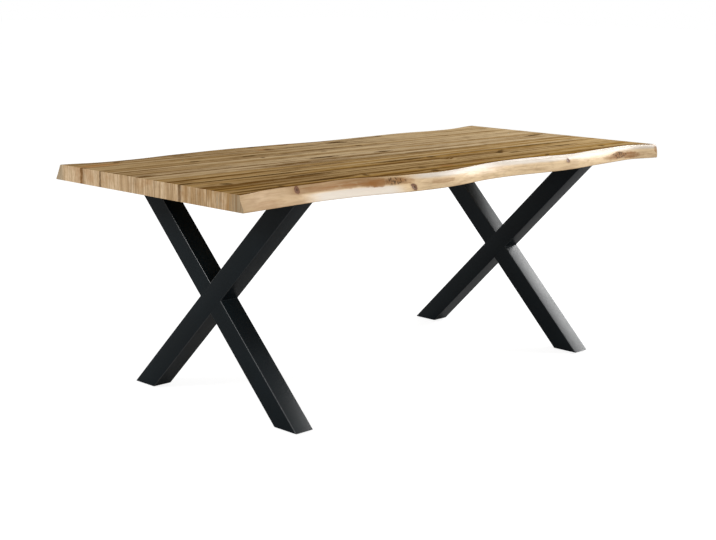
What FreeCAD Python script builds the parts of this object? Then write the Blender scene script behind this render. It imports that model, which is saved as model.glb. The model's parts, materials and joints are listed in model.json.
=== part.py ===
import FreeCAD, Part
import math
import os
import Sketcher

# Live edge dining table: an edge-glued plank top on two crossed square-tube leg frames.
# Millimetres, +Z up. The origin is on the floor under the middle of the top.
# X runs along the planks, -Y is the front live edge and -X the left end.

Vector = FreeCAD.Vector
doc = FreeCAD.newDocument("live_edge_dining_table")

# Driving sizes: name, millimetres, what it measures
SIZES = (
    ("table_length", 2000, "end to end, along the planks"),
    ("top_width", 945, "across the top where it is widest, on its underside"),
    ("table_height", 750, "floor to the upper face"),
    ("top_thickness", 48, "thickness of every plank"),
    ("edge_stock", 5, "wood outside the widest line before an edge is shaped"),
    ("front_inner_width", 128, "plank behind the front live edge plank"),
    ("front_middle_width", 110, "plank before the centre plank"),
    ("centre_width", 110, "centre plank"),
    ("rear_middle_width", 152, "plank behind the centre plank"),
    ("rear_inner_width", 91, "plank before the rear live edge plank"),
    ("biscuit_length", 56, "jointing biscuit, along the plank"),
    ("biscuit_width", 23, "jointing biscuit, across the glue line"),
    ("biscuit_thickness", 4, "jointing biscuit, up and down"),
    ("biscuit_fit", 0.2, "room round a biscuit in its pocket"),
    ("tube_side", 70, "outside of the square leg tube"),
    ("tube_wall", 3, "wall of the leg tube"),
    ("tube_corner", 2.5, "outer corner radius of the leg tube"),
    ("foot_spread", 787, "across the two feet of a frame, outside to outside"),
    ("overhang_length", 270, "end of the top to the outer face of a frame"),
    ("frame_setback", 22, "middle of the frames behind the middle of the top"),
    ("plate_thickness", 5, "flat steel plate between a frame and the top"),
    ("plate_lip", 10, "that plate, past each side of the tube"),
    ("plate_hole_room", 2.5, "oversize of the bolt holes, so that the planks can move"),
    ("bolt_radius", 4, "shank of a bolt"),
    ("bolt_tip_room", 5, "bolt tip to the inner end of its insert"),
    ("bolt_head_lip", 3, "domed head of a bolt, past its shank"),
    ("bolt_head_height", 4.4, "domed head of a bolt"),
    ("bolt_socket_radius", 2.9, "corner radius of the hexagon socket"),
    ("bolt_socket_depth", 2.6, "hexagon socket"),
    ("washer_lip", 5.5, "washer under a bolt head, past the plate's hole"),
    ("washer_thickness", 2, "washer under a bolt head"),
    ("washer_room", 5, "washer to the nearest leg"),
    ("insert_wall", 2, "wall of a threaded insert in the top"),
    ("insert_length", 20, "threaded insert, let into the underside"),
    ("insert_fit", 0.15, "room round an insert, and past its end"),
    ("thread_clearance", 0.3, "room between a thread and its hole"),
    ("foot_plate_thickness", 4, "plate that closes the foot of a tube"),
    ("bush_wall", 5, "wall of the threaded bush on the foot plate"),
    ("bush_height", 12, "threaded bush on the foot plate"),
    ("glide_radius", 15, "levelling glide, the disc on the floor"),
    ("glide_height", 4, "levelling glide, the disc on the floor"),
    ("glide_bevel", 1, "bevel round the lower rim of a glide"),
    ("glide_floor", 2, "disc left under the recess that holds the stem"),
    ("stem_radius", 4, "threaded stem of a glide"),
    ("stem_length", 34, "threaded stem of a glide"),
    ("stem_fit", 0.15, "room round a stem in the disc's recess"),
    ("stem_bevel", 1, "bevel on the tip of a stem"),
)

sheet = doc.addObject("Spreadsheet::Sheet", "Sizes")
for row, (alias, value, meaning) in enumerate(SIZES, start=1):
    sheet.set(f"A{row}", alias)
    sheet.set(f"B{row}", str(value))
    sheet.set(f"C{row}", meaning)
    sheet.setAlias(f"B{row}", alias)
doc.recompute()


def size(name):
    return float(sheet.get(name))


# Heights and places that follow from the driving sizes
FOOT_Z = "Sizes.glide_height"
UNDERSIDE_Z = "(Sizes.table_height - Sizes.top_thickness)"
PLATE_Z = f"({UNDERSIDE_Z} - Sizes.plate_thickness)"
LEG_HEIGHT = f"({PLATE_Z} - {FOOT_Z})"
CROSSING_Z = f"({FOOT_Z} + {LEG_HEIGHT} / 2)"
LEG_DIAGONAL = f"sqrt(Sizes.foot_spread ^ 2 + {LEG_HEIGHT} ^ 2)"
LEAN = f"(acos(Sizes.tube_side / {LEG_DIAGONAL}) - atan({LEG_HEIGHT} / Sizes.foot_spread))"
FOOT_Y = f"((Sizes.foot_spread - Sizes.tube_side / cos({LEAN})) / 2)"
FRAME_X = "(Sizes.table_length / 2 - Sizes.overhang_length - Sizes.tube_side / 2)"

BOLT_HOLE = "(Sizes.bolt_radius + Sizes.thread_clearance)"
INSERT_RADIUS = f"({BOLT_HOLE} + Sizes.insert_wall)"
PLATE_HOLE = "(Sizes.bolt_radius + Sizes.plate_hole_room)"
WASHER_RADIUS = f"({PLATE_HOLE} + Sizes.washer_lip)"
LEG_END = f"(Sizes.tube_side / cos({LEAN}))"
BOLT_REACH = f"({FOOT_Y} - {LEG_END} / 2 - {WASHER_RADIUS} - Sizes.washer_room)"
STEM_HOLE = "(Sizes.stem_radius + Sizes.thread_clearance)"

INNER_PLANKS = ("front_inner", "front_middle", "centre", "rear_middle", "rear_inner")
INNER_WIDTH = "(" + " + ".join(f"Sizes.{name}_width" for name in INNER_PLANKS) + ")"


def glue_line(count):
    """Y of the glue line that has this many inner planks in front of it."""
    passed = "".join(f" + Sizes.{name}_width" for name in INNER_PLANKS[:count])
    return f"(-{INNER_WIDTH} / 2{passed})"


def bolt_line(index):
    """Y from a frame's middle of the bolts in an inner plank: the plank's middle, clear of the legs."""
    middle = f"({glue_line(index)} + Sizes.{INNER_PLANKS[index]}_width / 2 - Sizes.frame_setback)"
    return f"max(min({middle}; {BOLT_REACH}); -{BOLT_REACH})"


def worked_out(expression):
    """Number that an expression on the driving sizes gives."""
    result = sheet.evalExpression(expression)
    return float(getattr(result, "Value", result))


def bind(item, **expressions):
    """Ties properties to expressions; a double underscore stands for a dot."""
    for name, expression in expressions.items():
        item.setExpression(name.replace("__", "."), expression)


def place(item, along, across, up):
    bind(item, Placement__Base__x=along, Placement__Base__y=across, Placement__Base__z=up)


def box(label, length, width, height, along, across, up):
    item = doc.addObject("Part::Box", label)
    bind(item, Length=length, Width=width, Height=height)
    place(item, along, across, up)
    return item


def boolean(kind, label, base, tool):
    item = doc.addObject(f"Part::{kind}", label)
    item.Base = base
    item.Tool = tool
    return item


# Millimetres and degrees that a shape is first drawn with, before its sizes are tied
DRAWN_SIDE = 40
DRAWN_RADIUS = 5
DRAWN_LEAN = 45
# Millimetres within which two places are the same
SAME_PLACE = 0.01


def origin_sketch(body, name):
    """Empty sketch on the body's own XY plane."""
    sketch = body.newObject("Sketcher::SketchObject", f"{body.Name}_{name}")
    flat = next(item for item in body.Origin.OriginFeatures if item.Role == "XY_Plane")
    sketch.AttachmentSupport = [(flat, "")]
    sketch.MapMode = "FlatFace"
    return sketch


def centred_rectangle(sketch, width, depth):
    """Rectangle about the sketch's origin, with both sides tied to expressions."""
    first = sketch.GeometryCount
    half = DRAWN_SIDE / 2
    corners = [Vector(-half, -half), Vector(half, -half), Vector(half, half), Vector(-half, half)]
    for start, end in zip(corners, corners[1:] + corners[:1]):
        sketch.addGeometry(Part.LineSegment(start, end), False)
    for side in range(4):
        following = first + (side + 1) % 4
        sketch.addConstraint(Sketcher.Constraint("Coincident", first + side, 2, following, 1))
        level = "Vertical" if side % 2 else "Horizontal"
        sketch.addConstraint(Sketcher.Constraint(level, first + side))
    sketch.addConstraint(Sketcher.Constraint("Symmetric", first, 1, first + 1, 2, -1, 1))
    across = sketch.addConstraint(Sketcher.Constraint("DistanceX", first, 1, first, 2, DRAWN_SIDE))
    side_line = first + 1
    along = sketch.addConstraint(Sketcher.Constraint("DistanceY", side_line, 1, side_line, 2, DRAWN_SIDE))
    sketch.setExpression(f"Constraints[{across}]", width)
    sketch.setExpression(f"Constraints[{along}]", depth)


def circle(sketch, radius, offset=None):
    """Circle at the sketch's origin, or an expression's distance up its Y axis."""
    start = Vector(0, worked_out(offset) if offset else 0)
    ring = sketch.addGeometry(Part.Circle(start, Vector(0, 0, 1), DRAWN_RADIUS), False)
    if offset:
        sketch.addConstraint(Sketcher.Constraint("PointOnObject", ring, 3, -2))
        height = sketch.addConstraint(Sketcher.Constraint("DistanceY", -1, 1, ring, 3, start.y))
        sketch.setExpression(f"Constraints[{height}]", offset)
    else:
        sketch.addConstraint(Sketcher.Constraint("Coincident", ring, 3, -1, 1))
    reach = sketch.addConstraint(Sketcher.Constraint("Radius", ring, DRAWN_RADIUS))
    sketch.setExpression(f"Constraints[{reach}]", radius)


def pad(body, sketch, length, symmetric=False):
    feature = body.newObject("PartDesign::Pad", f"{sketch.Name}_pad")
    feature.Profile = sketch
    if symmetric:
        feature.SideType = "Symmetric"
    bind(feature, Length=length)
    return feature


def dress(kind, base, chosen, value):
    """Fillet or chamfer on the edges of a feature that the test picks."""
    doc.recompute()
    edges = [f"Edge{number}" for number, edge in enumerate(base.Shape.Edges, 1) if chosen(edge)]
    feature = base.getParentGeoFeatureGroup().newObject(f"PartDesign::{kind}", f"{base.Name}_{kind}")
    feature.Base = (base, edges)
    bind(feature, **{"Radius" if kind == "Fillet" else "Size": value})
    return feature


def group(label, solids):
    """Like pieces in one node, each its own solid."""
    item = doc.addObject("Part::Feature", label)
    item.Shape = Part.makeCompound(solids)
    return item


def upright(radius, height, along, across, up):
    return Part.makeCylinder(radius, height, Vector(along, across, up))


parts = []


def keep(item):
    item.Label = item.Name
    parts.append(item)


# Live edges: millimetres in from the widest line, at even steps from the left end to the right end
FRONT_TOP_INSET = (
    40, 64, 76, 76, 85, 77, 46, 28, 20, 32, 52, 68, 74, 70, 58, 44, 55, 67, 73, 74, 35,
)
FRONT_FOOT_INSET = (
    23, 31, 39, 45, 42, 33, 14, 2, 0, 11, 29, 38, 36, 25, 16, 17, 28, 37, 46, 45, 19,
)
REAR_TOP_INSET = (
    55, 80, 88, 84, 70, 62, 54, 52, 56, 59, 69, 76, 73, 68, 63, 58, 61, 73, 73, 56, 34,
)
REAR_FOOT_INSET = (
    30, 38, 41, 40, 34, 26, 20, 18, 21, 26, 35, 42, 40, 35, 29, 24, 26, 36, 35, 18, 0,
)
# How far down the edge's shoulder lies, as a share of the thickness, at the same steps
FRONT_SHOULDER = (
    0.50, 0.50, 0.52, 0.54, 0.56, 0.62, 0.60, 0.42, 0.25, 0.31, 0.40,
    0.38, 0.23, 0.19, 0.19, 0.29, 0.35, 0.35, 0.23, 0.19, 0.19,
)
REAR_SHOULDER = (0.30,) * len(REAR_TOP_INSET)
# A high shoulder is round, with most of the flare above it, and a low one is hollow
ROUND_SHOULDER = 0.40
ROUND_SHARE = 0.68
HOLLOW_SHOULDER = 0.54
HOLLOW_SHARE = 0.33
# Swell of the edge between its shoulder and its foot
BELLY = 2
# Stretch of edge surface beyond the plank, so that it is cut cleanly, and depth of the offcut
RUN_PAST = 10
OFFCUT_DEPTH = 150


def flare_share(depth):
    """Share of the edge's flare that is reached at a shoulder this far down."""
    low = (depth - ROUND_SHOULDER) / (HOLLOW_SHOULDER - ROUND_SHOULDER)
    low = min(1.0, max(0.0, low))
    return ROUND_SHARE + (HOLLOW_SHARE - ROUND_SHARE) * low


def edge_profile(upper, lower, depth):
    """Inset and height of an edge's points, from above the upper face to below the lower one."""
    top, foot_z = size("table_height"), worked_out(UNDERSIDE_Z)
    drop = depth * size("top_thickness")
    shoulder = upper + (lower - upper) * flare_share(depth)
    shoulder_z = top - drop
    above = (upper - shoulder) / drop
    below = (shoulder - lower) / (shoulder_z - foot_z)
    return (
        (upper + above * RUN_PAST, top + RUN_PAST),
        (upper, top),
        (shoulder, shoulder_z),
        ((shoulder + lower) / 2 - BELLY, (shoulder_z + foot_z) / 2),
        (lower, foot_z),
        (lower - below * RUN_PAST, foot_z - RUN_PAST),
    )


def edge_offcut(label, side, top_inset, foot_inset, shoulders):
    """Waste outside a live edge: side is -1 at the front and 1 at the rear."""
    length, widest = size("table_length"), size("top_width") / 2
    step = length / (len(top_inset) - 1)
    rows = []
    for number, (upper, lower, depth) in enumerate(zip(top_inset, foot_inset, shoulders)):
        along = number * step - length / 2
        profile = edge_profile(upper, lower, depth)
        rows.append([Vector(along, side * (widest - inset), up) for inset, up in profile])
    rows.insert(0, [point - Vector(RUN_PAST, 0, 0) for point in rows[0]])
    rows.append([point + Vector(RUN_PAST, 0, 0) for point in rows[-1]])
    skin = Part.BSplineSurface()
    skin.interpolate(rows)
    item = doc.addObject("Part::Feature", label)
    item.Shape = skin.toShape().extrude(Vector(0, side * OFFCUT_DEPTH, 0))
    return item


BISCUITS_PER_JOINT = 8


def biscuit(room):
    """Lens-shaped biscuit about the origin, grown by the room asked for."""
    tip = Vector(size("biscuit_length") / 2 + room, 0, 0)
    crown = Vector(0, size("biscuit_width") / 2 + room, 0)
    depth = size("biscuit_thickness") / 2 + room
    outline = Part.Wire([Part.Arc(-tip, crown, tip).toShape(), Part.Arc(tip, -crown, -tip).toShape()])
    lens = Part.Face(outline).extrude(Vector(0, 0, 2 * depth))
    lens.translate(Vector(0, 0, -depth))
    return lens


def biscuits(room):
    """One biscuit, or its pocket, at each even step along each glue line."""
    pitch = size("table_length") / BISCUITS_PER_JOINT
    up = size("table_height") - size("top_thickness") / 2
    solids = []
    for joint in range(len(INNER_PLANKS) + 1):
        across = worked_out(glue_line(joint))
        for number in range(BISCUITS_PER_JOINT):
            along = (number + 0.5) * pitch - size("table_length") / 2
            lens = biscuit(room)
            lens.translate(Vector(along, across, up))
            solids.append(lens)
    return solids


def bolt_places(frame_side):
    """X and Y of a frame's bolts, one in each inner plank."""
    along = frame_side * worked_out(FRAME_X)
    middle = size("frame_setback")
    return [(along, middle + worked_out(bolt_line(index))) for index in range(len(INNER_PLANKS))]


def insert_holes():
    depth = size("insert_length") + size("insert_fit")
    reach = worked_out(INSERT_RADIUS) + size("insert_fit")
    underside = worked_out(UNDERSIDE_Z)
    places = bolt_places(-1) + bolt_places(1)
    return [upright(reach, depth, along, across, underside) for along, across in places]


def inserts():
    """Threaded sleeves let into the underside of the top."""
    underside = worked_out(UNDERSIDE_Z)
    length = size("insert_length")
    solids = []
    for along, across in bolt_places(-1) + bolt_places(1):
        sleeve = upright(worked_out(INSERT_RADIUS), length, along, across, underside)
        solids.append(sleeve.cut(upright(worked_out(BOLT_HOLE), length, along, across, underside)))
    return solids


# The top: five plain planks between two live edge planks, all pocketed for biscuits and inserts
pockets = group("joinery_pockets", biscuits(size("biscuit_fit")) + insert_holes())


def plank(label, width, across, offcut=None):
    blank = box(
        f"{label}_blank", "Sizes.table_length", width, "Sizes.top_thickness",
        "-Sizes.table_length / 2", across, UNDERSIDE_Z,
    )
    if offcut:
        blank = boolean("Cut", f"{label}_edged", blank, offcut)
    keep(boolean("Cut", label, blank, pockets))


STOCK = "(Sizes.top_width / 2 + Sizes.edge_stock)"
front_offcut = edge_offcut("front_offcut", -1, FRONT_TOP_INSET, FRONT_FOOT_INSET, FRONT_SHOULDER)
rear_offcut = edge_offcut("rear_offcut", 1, REAR_TOP_INSET, REAR_FOOT_INSET, REAR_SHOULDER)
last_glue_line = glue_line(len(INNER_PLANKS))
plank("front_live_edge_plank", f"{STOCK} + {glue_line(0)}", f"-{STOCK}", front_offcut)
for index, name in enumerate(INNER_PLANKS):
    plank(f"{name}_plank", f"Sizes.{name}_width", glue_line(index))
plank("rear_live_edge_plank", f"{STOCK} - {last_glue_line}", last_glue_line, rear_offcut)
keep(group("plank_biscuits", biscuits(0)))
keep(group("threaded_inserts", inserts()))

TUBE_INSIDE = "(Sizes.tube_side - 2 * Sizes.tube_wall)"
BAR_LENGTH = f"(2 * {LEG_DIAGONAL})"


def leaning_body(label, frame_x, towards):
    """Body at a frame's crossing, with its Z axis leaning to the front (-1) or the rear (1)."""
    body = doc.addObject("PartDesign::Body", label)
    turn_axis = Vector(-towards, 0, 0)
    body.Placement = FreeCAD.Placement(Vector(), FreeCAD.Rotation(turn_axis, DRAWN_LEAN))
    place(body, frame_x, "Sizes.frame_setback", CROSSING_Z)
    bind(body, Placement__Rotation__Angle=LEAN)
    return body


def leaning_bar(label, frame_x, towards, width, depth):
    body = leaning_body(label, frame_x, towards)
    sketch = origin_sketch(body, "section")
    centred_rectangle(sketch, width, depth)
    pad(body, sketch, BAR_LENGTH, symmetric=True)
    return body


def leaning_tube(label, frame_x, towards):
    """Square tube with rounded outer corners, longer than any leg."""
    body = leaning_body(label, frame_x, towards)
    sketch = origin_sketch(body, "section")
    centred_rectangle(sketch, "Sizes.tube_side", "Sizes.tube_side")
    centred_rectangle(sketch, TUBE_INSIDE, TUBE_INSIDE)
    blank = pad(body, sketch, BAR_LENGTH, symmetric=True)
    outer = size("tube_side") / 2 - size("tube_wall") / 2

    def outer_corner(edge):
        middle = edge.CenterOfMass
        return abs(middle.z) < SAME_PLACE and min(abs(middle.x), abs(middle.y)) > outer

    dress("Fillet", blank, outer_corner, "Sizes.tube_corner")
    return body


def slice_box(label, frame_x, bottom, height):
    """Block as wide as a frame, used to cut its tubes level."""
    return box(
        label, "2 * Sizes.tube_side", "2 * Sizes.foot_spread", height,
        f"{frame_x} - Sizes.tube_side", "Sizes.frame_setback - Sizes.foot_spread", bottom,
    )


def round_body(label, along, across, up):
    body = doc.addObject("PartDesign::Body", label)
    place(body, along, across, up)
    return body


def round_pad(body, height, *radii):
    """Upright disc, or a sleeve where a second radius is given."""
    sketch = origin_sketch(body, "section")
    for radius in radii:
        circle(sketch, radius)
    return pad(body, sketch, height)


def foot(end, frame_x, name, sign, core):
    """Closing plate, threaded bush and levelling glide at the foot of one tube."""
    across = f"Sizes.frame_setback + {sign} * {FOOT_Y}"
    slab = slice_box(f"{end}_{name}_foot_slab", frame_x, FOOT_Z, "Sizes.foot_plate_thickness")
    closed = boolean("Common", f"{end}_{name}_foot_blank", core, slab)
    hole = doc.addObject("Part::Cylinder", f"{end}_{name}_foot_hole")
    bind(hole, Radius=STEM_HOLE, Height="Sizes.foot_plate_thickness")
    place(hole, frame_x, across, FOOT_Z)
    keep(boolean("Cut", f"{end}_{name}_foot_plate", closed, hole))
    bush_z = f"{FOOT_Z} + Sizes.foot_plate_thickness"
    bush = round_body(f"{end}_{name}_foot_bush", frame_x, across, bush_z)
    sleeve_radius = f"{STEM_HOLE} + Sizes.bush_wall"
    round_pad(bush, "Sizes.bush_height", sleeve_radius, STEM_HOLE)
    keep(bush)
    glide(end, frame_x, name, across)


def at_height(value):
    return lambda edge: all(abs(vertex.Z - value) < SAME_PLACE for vertex in edge.Vertexes)


def glide(end, frame_x, name, across):
    """Levelling glide: a bevelled disc, and the threaded stem that stands in its recess."""
    disc = round_body(f"{end}_{name}_glide_disc", frame_x, across, "0")
    blank = round_pad(disc, "Sizes.glide_height", "Sizes.glide_radius")
    dress("Chamfer", blank, at_height(0), "Sizes.glide_bevel")
    recess = origin_sketch(disc, "recess")
    circle(recess, "Sizes.stem_radius + Sizes.stem_fit")
    bind(recess, AttachmentOffset__Base__z="Sizes.glide_height")
    pocket = disc.newObject("PartDesign::Pocket", f"{disc.Name}_pocket")
    pocket.Profile = recess
    bind(pocket, Length="Sizes.glide_height - Sizes.glide_floor")
    keep(disc)
    stem = round_body(f"{end}_{name}_glide_stem", frame_x, across, "Sizes.glide_floor")
    rod = round_pad(stem, "Sizes.stem_length", "Sizes.stem_radius")
    dress("Chamfer", rod, at_height(size("stem_length")), "Sizes.stem_bevel")
    keep(stem)


def top_plate(end, frame_x):
    """Flat plate welded across the tops of a frame's tubes."""
    body = doc.addObject("PartDesign::Body", f"{end}_top_plate")
    sketch = origin_sketch(body, "outline")
    centred_rectangle(sketch, "Sizes.tube_side + 2 * Sizes.plate_lip", "Sizes.foot_spread")
    for index in range(len(INNER_PLANKS)):
        circle(sketch, PLATE_HOLE, bolt_line(index))
    pad(body, sketch, "Sizes.plate_thickness")
    place(body, frame_x, "Sizes.frame_setback", PLATE_Z)
    keep(body)


HEXAGON_SIDES = 6


def hexagon(radius, height, along, across, up):
    corners = []
    for turn in range(HEXAGON_SIDES + 1):
        angle = math.tau * turn / HEXAGON_SIDES
        corners.append(Vector(along + radius * math.cos(angle), across + radius * math.sin(angle), up))
    return Part.Face(Part.makePolygon(corners)).extrude(Vector(0, 0, height))


def bolts_and_washers(end, frame_side):
    """Domed bolts with a hexagon socket, each on a washer under the plate."""
    thickness, height = size("washer_thickness"), size("bolt_head_height")
    washer_z = worked_out(PLATE_Z) - thickness
    head_z = washer_z - height
    tip_z = worked_out(UNDERSIDE_Z) + size("insert_length") - size("bolt_tip_room")
    head_radius = size("bolt_radius") + size("bolt_head_lip")
    bolts = []
    washers = []
    for along, across in bolt_places(frame_side):
        head = upright(head_radius, height, along, across, head_z)
        dome = [edge for edge in head.Edges if edge.BoundBox.ZMax < head_z + height / 2]
        head = head.makeFillet(height / 2, dome)
        socket = hexagon(size("bolt_socket_radius"), size("bolt_socket_depth"), along, across, head_z)
        shank = upright(size("bolt_radius"), tip_z - washer_z, along, across, washer_z)
        bolts.append(head.cut(socket).fuse(shank))
        washer = upright(worked_out(WASHER_RADIUS), thickness, along, across, washer_z)
        washers.append(washer.cut(upright(worked_out(BOLT_HOLE), thickness, along, across, washer_z)))
    keep(group(f"{end}_frame_bolts", bolts))
    keep(group(f"{end}_frame_washers", washers))


def leg_frame(end, frame_side):
    """Crossed frame: one tube runs through and two half-length tubes butt against it."""
    frame_x = f"{frame_side} * {FRAME_X}"
    whole = slice_box(f"{end}_leg_slice", frame_x, FOOT_Z, LEG_HEIGHT)
    through = leaning_tube(f"{end}_through_tube", frame_x, -1)
    keep(boolean("Common", f"{end}_through_leg", through, whole))
    passage = leaning_bar(f"{end}_passage", frame_x, -1, "2 * Sizes.tube_side", "Sizes.tube_side")
    crossing = leaning_tube(f"{end}_crossing_tube", frame_x, 1)
    for half, bottom in (("upper", CROSSING_Z), ("lower", FOOT_Z)):
        part_slice = slice_box(f"{end}_{half}_slice", frame_x, bottom, f"{LEG_HEIGHT} / 2")
        level = boolean("Common", f"{end}_{half}_level", crossing, part_slice)
        keep(boolean("Cut", f"{end}_{half}_half_leg", level, passage))
    for name, sign, towards in (("front", -1, 1), ("rear", 1, -1)):
        core = leaning_bar(f"{end}_{name}_core", frame_x, towards, TUBE_INSIDE, TUBE_INSIDE)
        foot(end, frame_x, name, sign, core)
    top_plate(end, frame_x)
    bolts_and_washers(end, frame_side)


leg_frame("left", -1)
leg_frame("right", 1)

doc.recompute()
for item in doc.Objects:
    if "Invalid" in item.State or "Error" in item.State:
        raise RuntimeError(f"{item.Label} did not build: {item.State}")
for item in parts:
    if item.Shape.isNull() or not item.Shape.isValid() or not item.Shape.Solids:
        raise RuntimeError(f"{item.Label} has no valid solid")

os.makedirs("parts", exist_ok=True)
for item in parts:
    item.Shape.exportStep(f"parts/{item.Label}.step")
    print(f"{item.Label}: {len(item.Shape.Solids)} solid(s), {item.Shape.Volume / 1000:.1f} cm3")
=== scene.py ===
"""Live edge dining table: the looks of every piece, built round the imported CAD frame."""
import json
import math
from functools import partialmethod, reduce

import bmesh
import bpy
import numpy as np
from bpy.props import FloatProperty, FloatVectorProperty, IntProperty, PointerProperty
from mathutils import Matrix, Vector, noise
from mathutils.bvhtree import BVHTree

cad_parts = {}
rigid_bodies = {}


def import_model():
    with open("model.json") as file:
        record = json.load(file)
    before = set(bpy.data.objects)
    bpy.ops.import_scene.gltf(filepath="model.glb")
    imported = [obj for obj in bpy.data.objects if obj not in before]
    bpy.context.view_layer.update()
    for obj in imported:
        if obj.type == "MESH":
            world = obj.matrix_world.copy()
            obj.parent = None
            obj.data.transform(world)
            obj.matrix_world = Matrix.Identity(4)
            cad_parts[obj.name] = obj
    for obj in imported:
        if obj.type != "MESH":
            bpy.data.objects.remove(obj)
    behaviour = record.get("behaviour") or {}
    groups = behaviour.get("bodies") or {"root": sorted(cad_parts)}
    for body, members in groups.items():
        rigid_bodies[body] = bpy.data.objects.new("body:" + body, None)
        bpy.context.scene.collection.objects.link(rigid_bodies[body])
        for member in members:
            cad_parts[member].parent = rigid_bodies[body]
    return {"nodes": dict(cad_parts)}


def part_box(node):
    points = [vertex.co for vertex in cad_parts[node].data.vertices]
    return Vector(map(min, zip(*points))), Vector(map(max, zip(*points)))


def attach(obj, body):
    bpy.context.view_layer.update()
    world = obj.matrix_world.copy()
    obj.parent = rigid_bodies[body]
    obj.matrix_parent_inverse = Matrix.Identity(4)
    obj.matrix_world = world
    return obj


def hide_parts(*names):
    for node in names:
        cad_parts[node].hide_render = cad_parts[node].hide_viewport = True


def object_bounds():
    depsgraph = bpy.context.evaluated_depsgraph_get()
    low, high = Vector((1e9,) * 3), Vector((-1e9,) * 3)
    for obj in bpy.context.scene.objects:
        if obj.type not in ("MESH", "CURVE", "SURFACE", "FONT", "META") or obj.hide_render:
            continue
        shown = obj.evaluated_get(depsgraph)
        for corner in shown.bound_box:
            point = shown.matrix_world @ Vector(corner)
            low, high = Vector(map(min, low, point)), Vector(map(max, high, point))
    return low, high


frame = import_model()
CAD_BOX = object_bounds()

bl_info = {
    "name": "Live edge dining table",
    "version": (1, 0, 0),
    "blender": (4, 5, 0),
    "location": "3D View > Sidebar > Table",
    "description": "Dresses the table's CAD frame with oak planks, steel frames and fittings",
    "category": "Object",
}

MM = 0.001
ENDS = ("left", "right")
SIDES = ("front", "rear")
INNER_PLANKS = ("front_inner", "front_middle", "centre", "rear_middle", "rear_inner")
FLOOR_Z, TOP_Z = CAD_BOX[0].z, CAD_BOX[1].z
HALF_LENGTH = CAD_BOX[1].x
UNDERSIDE_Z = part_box("centre_plank")[0].z
THROUGH_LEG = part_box("left_through_leg")
TUBE_SIDE = THROUGH_LEG[1].x - THROUGH_LEG[0].x


# Sizes and colours that a user would change

def length(label, text, value):
    return FloatProperty(name=label, description=text, default=value, min=0.0, precision=5, unit="LENGTH")


def colour(label, text, value):
    return FloatVectorProperty(
        name=label, description=text, default=value, min=0.0, max=1.0, size=3, subtype="COLOR",
    )


class TopSizes(bpy.types.PropertyGroup):
    """Sizes of the plank top that the CAD model doesn't set."""

    step: length("Step", "Spacing of a plank's cross-sections", 4 * MM)
    edge_step: length("Edge step", "Spacing of a live edge plank's cross-sections", 3 * MM)
    ease: length("Ease", "Bevel on the arrises along the glue lines and the ends", 0.5 * MM)
    arris: length("Arris", "Rounding where a live edge meets the faces", 1.4 * MM)
    brim: length("Brim", "Width of the darker margin of the upper face along a live edge", 26 * MM)
    ripple: length("Ripple", "Height of the ripples on a live edge", 0.6 * MM)
    knot_hollow: length("Knot hollow", "How far a knot is sunk into the upper face", 0.35 * MM)


class FrameSizes(bpy.types.PropertyGroup):
    """Sizes of the leg frames and fittings that the CAD model doesn't set."""

    corner: length("Corner", "Outer corner radius of the leg tube", 2.5 * MM)
    wall: length("Wall", "Wall of the leg tube", 3 * MM)
    end_ease: length("End ease", "Bevel on the cut end of a tube", 0.6 * MM)
    weld: length("Weld", "Leg of the small fillet where tubes and plates meet", 1.5 * MM)
    thread_pitch: length("Thread pitch", "Pitch of the thread on a glide's stem", 1.25 * MM)
    sides: IntProperty(name="Sides", description="Sides of a turned piece", default=48, min=12)


class Finishes(bpy.types.PropertyGroup):
    """Colours of the wood, paint, metal and plastic."""

    pale_oak: colour("Pale oak", "Lightest heartwood of a pale plank", (0.55, 0.42, 0.26))
    golden_oak: colour("Golden oak", "Lightest heartwood of a warm plank", (0.46, 0.295, 0.105))
    brown_oak: colour("Brown oak", "Usual heartwood of the upper face", (0.32, 0.215, 0.105))
    warm_oak: colour("Warm oak", "Golden brown heartwood of the upper face", (0.295, 0.158, 0.028))
    dark_oak: colour("Dark oak", "Dark bands in the heartwood", (0.12, 0.056, 0.012))
    streak: colour("Streak", "Dark streaks and knots", (0.066, 0.033, 0.010))
    end_pale: colour("Pale end grain", "Lightest stripes of the cut ends", (0.69, 0.515, 0.33))
    end_tan: colour("Tan end grain", "Tan stripes of the cut ends", (0.40, 0.245, 0.11))
    end_brown: colour("Brown end grain", "Fine lines of the cut ends", (0.24, 0.14, 0.06))
    end_grey: colour("Grey end grain", "Grey stripes of the cut ends", (0.34, 0.29, 0.205))
    sapwood: colour("Sapwood", "Pale wood of the live edges", (0.87, 0.645, 0.385))
    # Partly pale sapwood and partly a painted sheen: the whitest band low on the left of a live edge
    pale_sapwood_and_sheen: colour("Bleached sapwood", "Whitest part of a live edge", (0.83, 0.75, 0.65))
    # Partly pale sapwood and partly a painted sheen: the paler, greyer upper shoulder of a live edge
    shoulder_sapwood_and_sheen: colour("Shoulder sapwood", "Upper shoulder of a live edge", (0.645, 0.58, 0.505))
    tan_sapwood: colour("Tan sapwood", "Darker wood of the live edges", (0.37, 0.215, 0.095))
    burl: colour("Burl", "Orange patches of the live edges", (0.34, 0.15, 0.042))
    red_knot: colour("Red knot", "Heart of a knot in the live edges", (0.20, 0.078, 0.044))
    powder_coat: colour("Powder coat", "Black paint of the steel", (0.0020, 0.0046, 0.0062))
    zinc: colour("Zinc", "Plated fittings", (0.56, 0.57, 0.58))
    plastic: colour("Plastic", "Moulded glides", (0.02, 0.02, 0.021))
    beech: colour("Beech", "Jointing biscuits", (0.52, 0.36, 0.21))


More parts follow.
